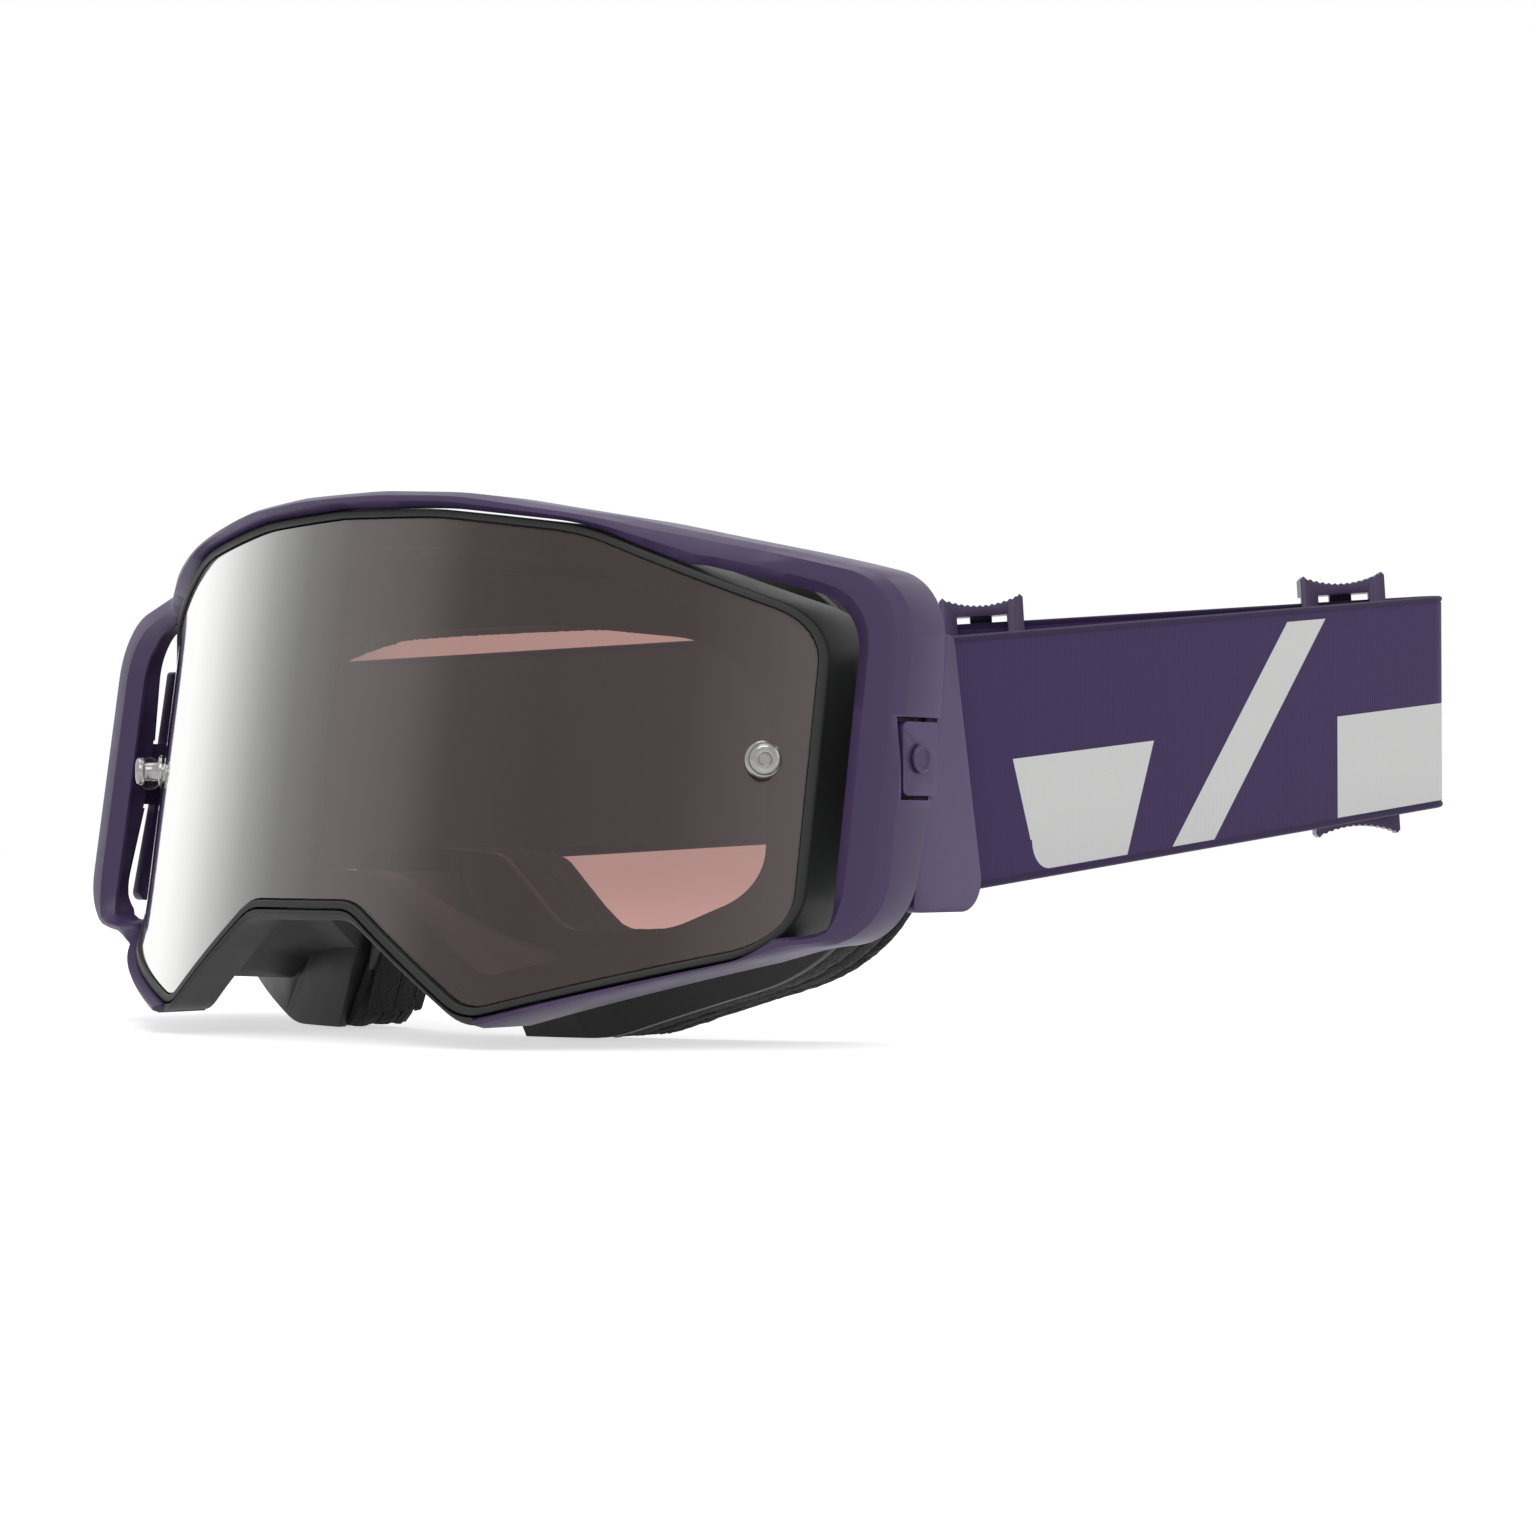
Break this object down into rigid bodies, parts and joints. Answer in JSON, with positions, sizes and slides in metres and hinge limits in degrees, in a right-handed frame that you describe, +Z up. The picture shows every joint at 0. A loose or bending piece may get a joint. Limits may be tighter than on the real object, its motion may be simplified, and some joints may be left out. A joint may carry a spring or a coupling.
{
  "type": "motorcycle goggles",
  "caption": "Motocross goggles with a cylindrical mirrored lens, C-shaped outer frame, layered face foam and a wide elastic strap on pivoting outriggers.",
  "frame": {"origin": "middle of the underside of the whole object's box", "axes": "+X to the wearer's left, +Y from the lens towards the back of the head, +Z up"},
  "size_m": [0.1862, 0.215, 0.0876],
  "materials": {
    "black": "satin black flexible plastic",
    "clear": "clear moulded plastic",
    "fleece": "brushed black fleece",
    "foam": "open-cell black foam",
    "lens": "silver mirror coating on a rose-brown tint",
    "purple": "satin violet nylon with fine bevels",
    "silicone": "dark brown grip print",
    "steel": "bright stamped steel",
    "webbing": "violet woven elastic with pale printed bands"
  },
  "bodies": {
    "frame": {"face_flange": "black", "face_fleece_layer": "fleece", "foam_base_layer": "foam", "foam_middle_layer": "foam", "lens": "lens", "lens_frame": "black", "nose_bridge": "black", "outer_frame": "purple", "pivot_clip_left": "steel", "pivot_clip_right": "steel", "pivot_pin_left": "purple", "pivot_pin_right": "purple", "tear_off_post_left": "clear", "tear_off_post_right": "clear", "vent_foam_left": "foam", "vent_foam_right": "foam"},
    "outrigger_left": {"outrigger_left": "purple", "strap": "webbing", "strap_end_left": "webbing", "silicone_grip_left": "silicone", "silicone_grip_right": "silicone"},
    "outrigger_right": {"outrigger_right": "purple", "strap_end_right": "webbing"},
    "slider_front": {"slider_front": "purple"},
    "slider_rear": {"slider_rear": "purple"}
  },
  "joints": [
    {"name": "outrigger_left_pivot", "type": "hinge", "parent": "frame", "child": "outrigger_left", "pos_m": [0.0923, -0.0643, 0.044], "axis": [1, 0, 0], "range_deg": [-3, 3]},
    {"name": "outrigger_right_pivot", "type": "hinge", "parent": "frame", "child": "outrigger_right", "pos_m": [-0.0923, -0.0643, 0.044], "axis": [1, 0, 0], "range_deg": [-3, 3]},
    {"name": "slider_front_slide", "type": "slide", "parent": "outrigger_left", "child": "slider_front", "axis": [-0.7713, -0.6336, -0.0602], "range_m": [-0.015, 0.015]},
    {"name": "slider_rear_slide", "type": "slide", "parent": "outrigger_left", "child": "slider_rear", "axis": [-0.7713, -0.6336, -0.0602], "range_m": [0, 0.015]}
  ],
  "couplings": [
    {"joint": "outrigger_right_pivot", "follows": "outrigger_left_pivot", "ratio": 1}
  ]
}
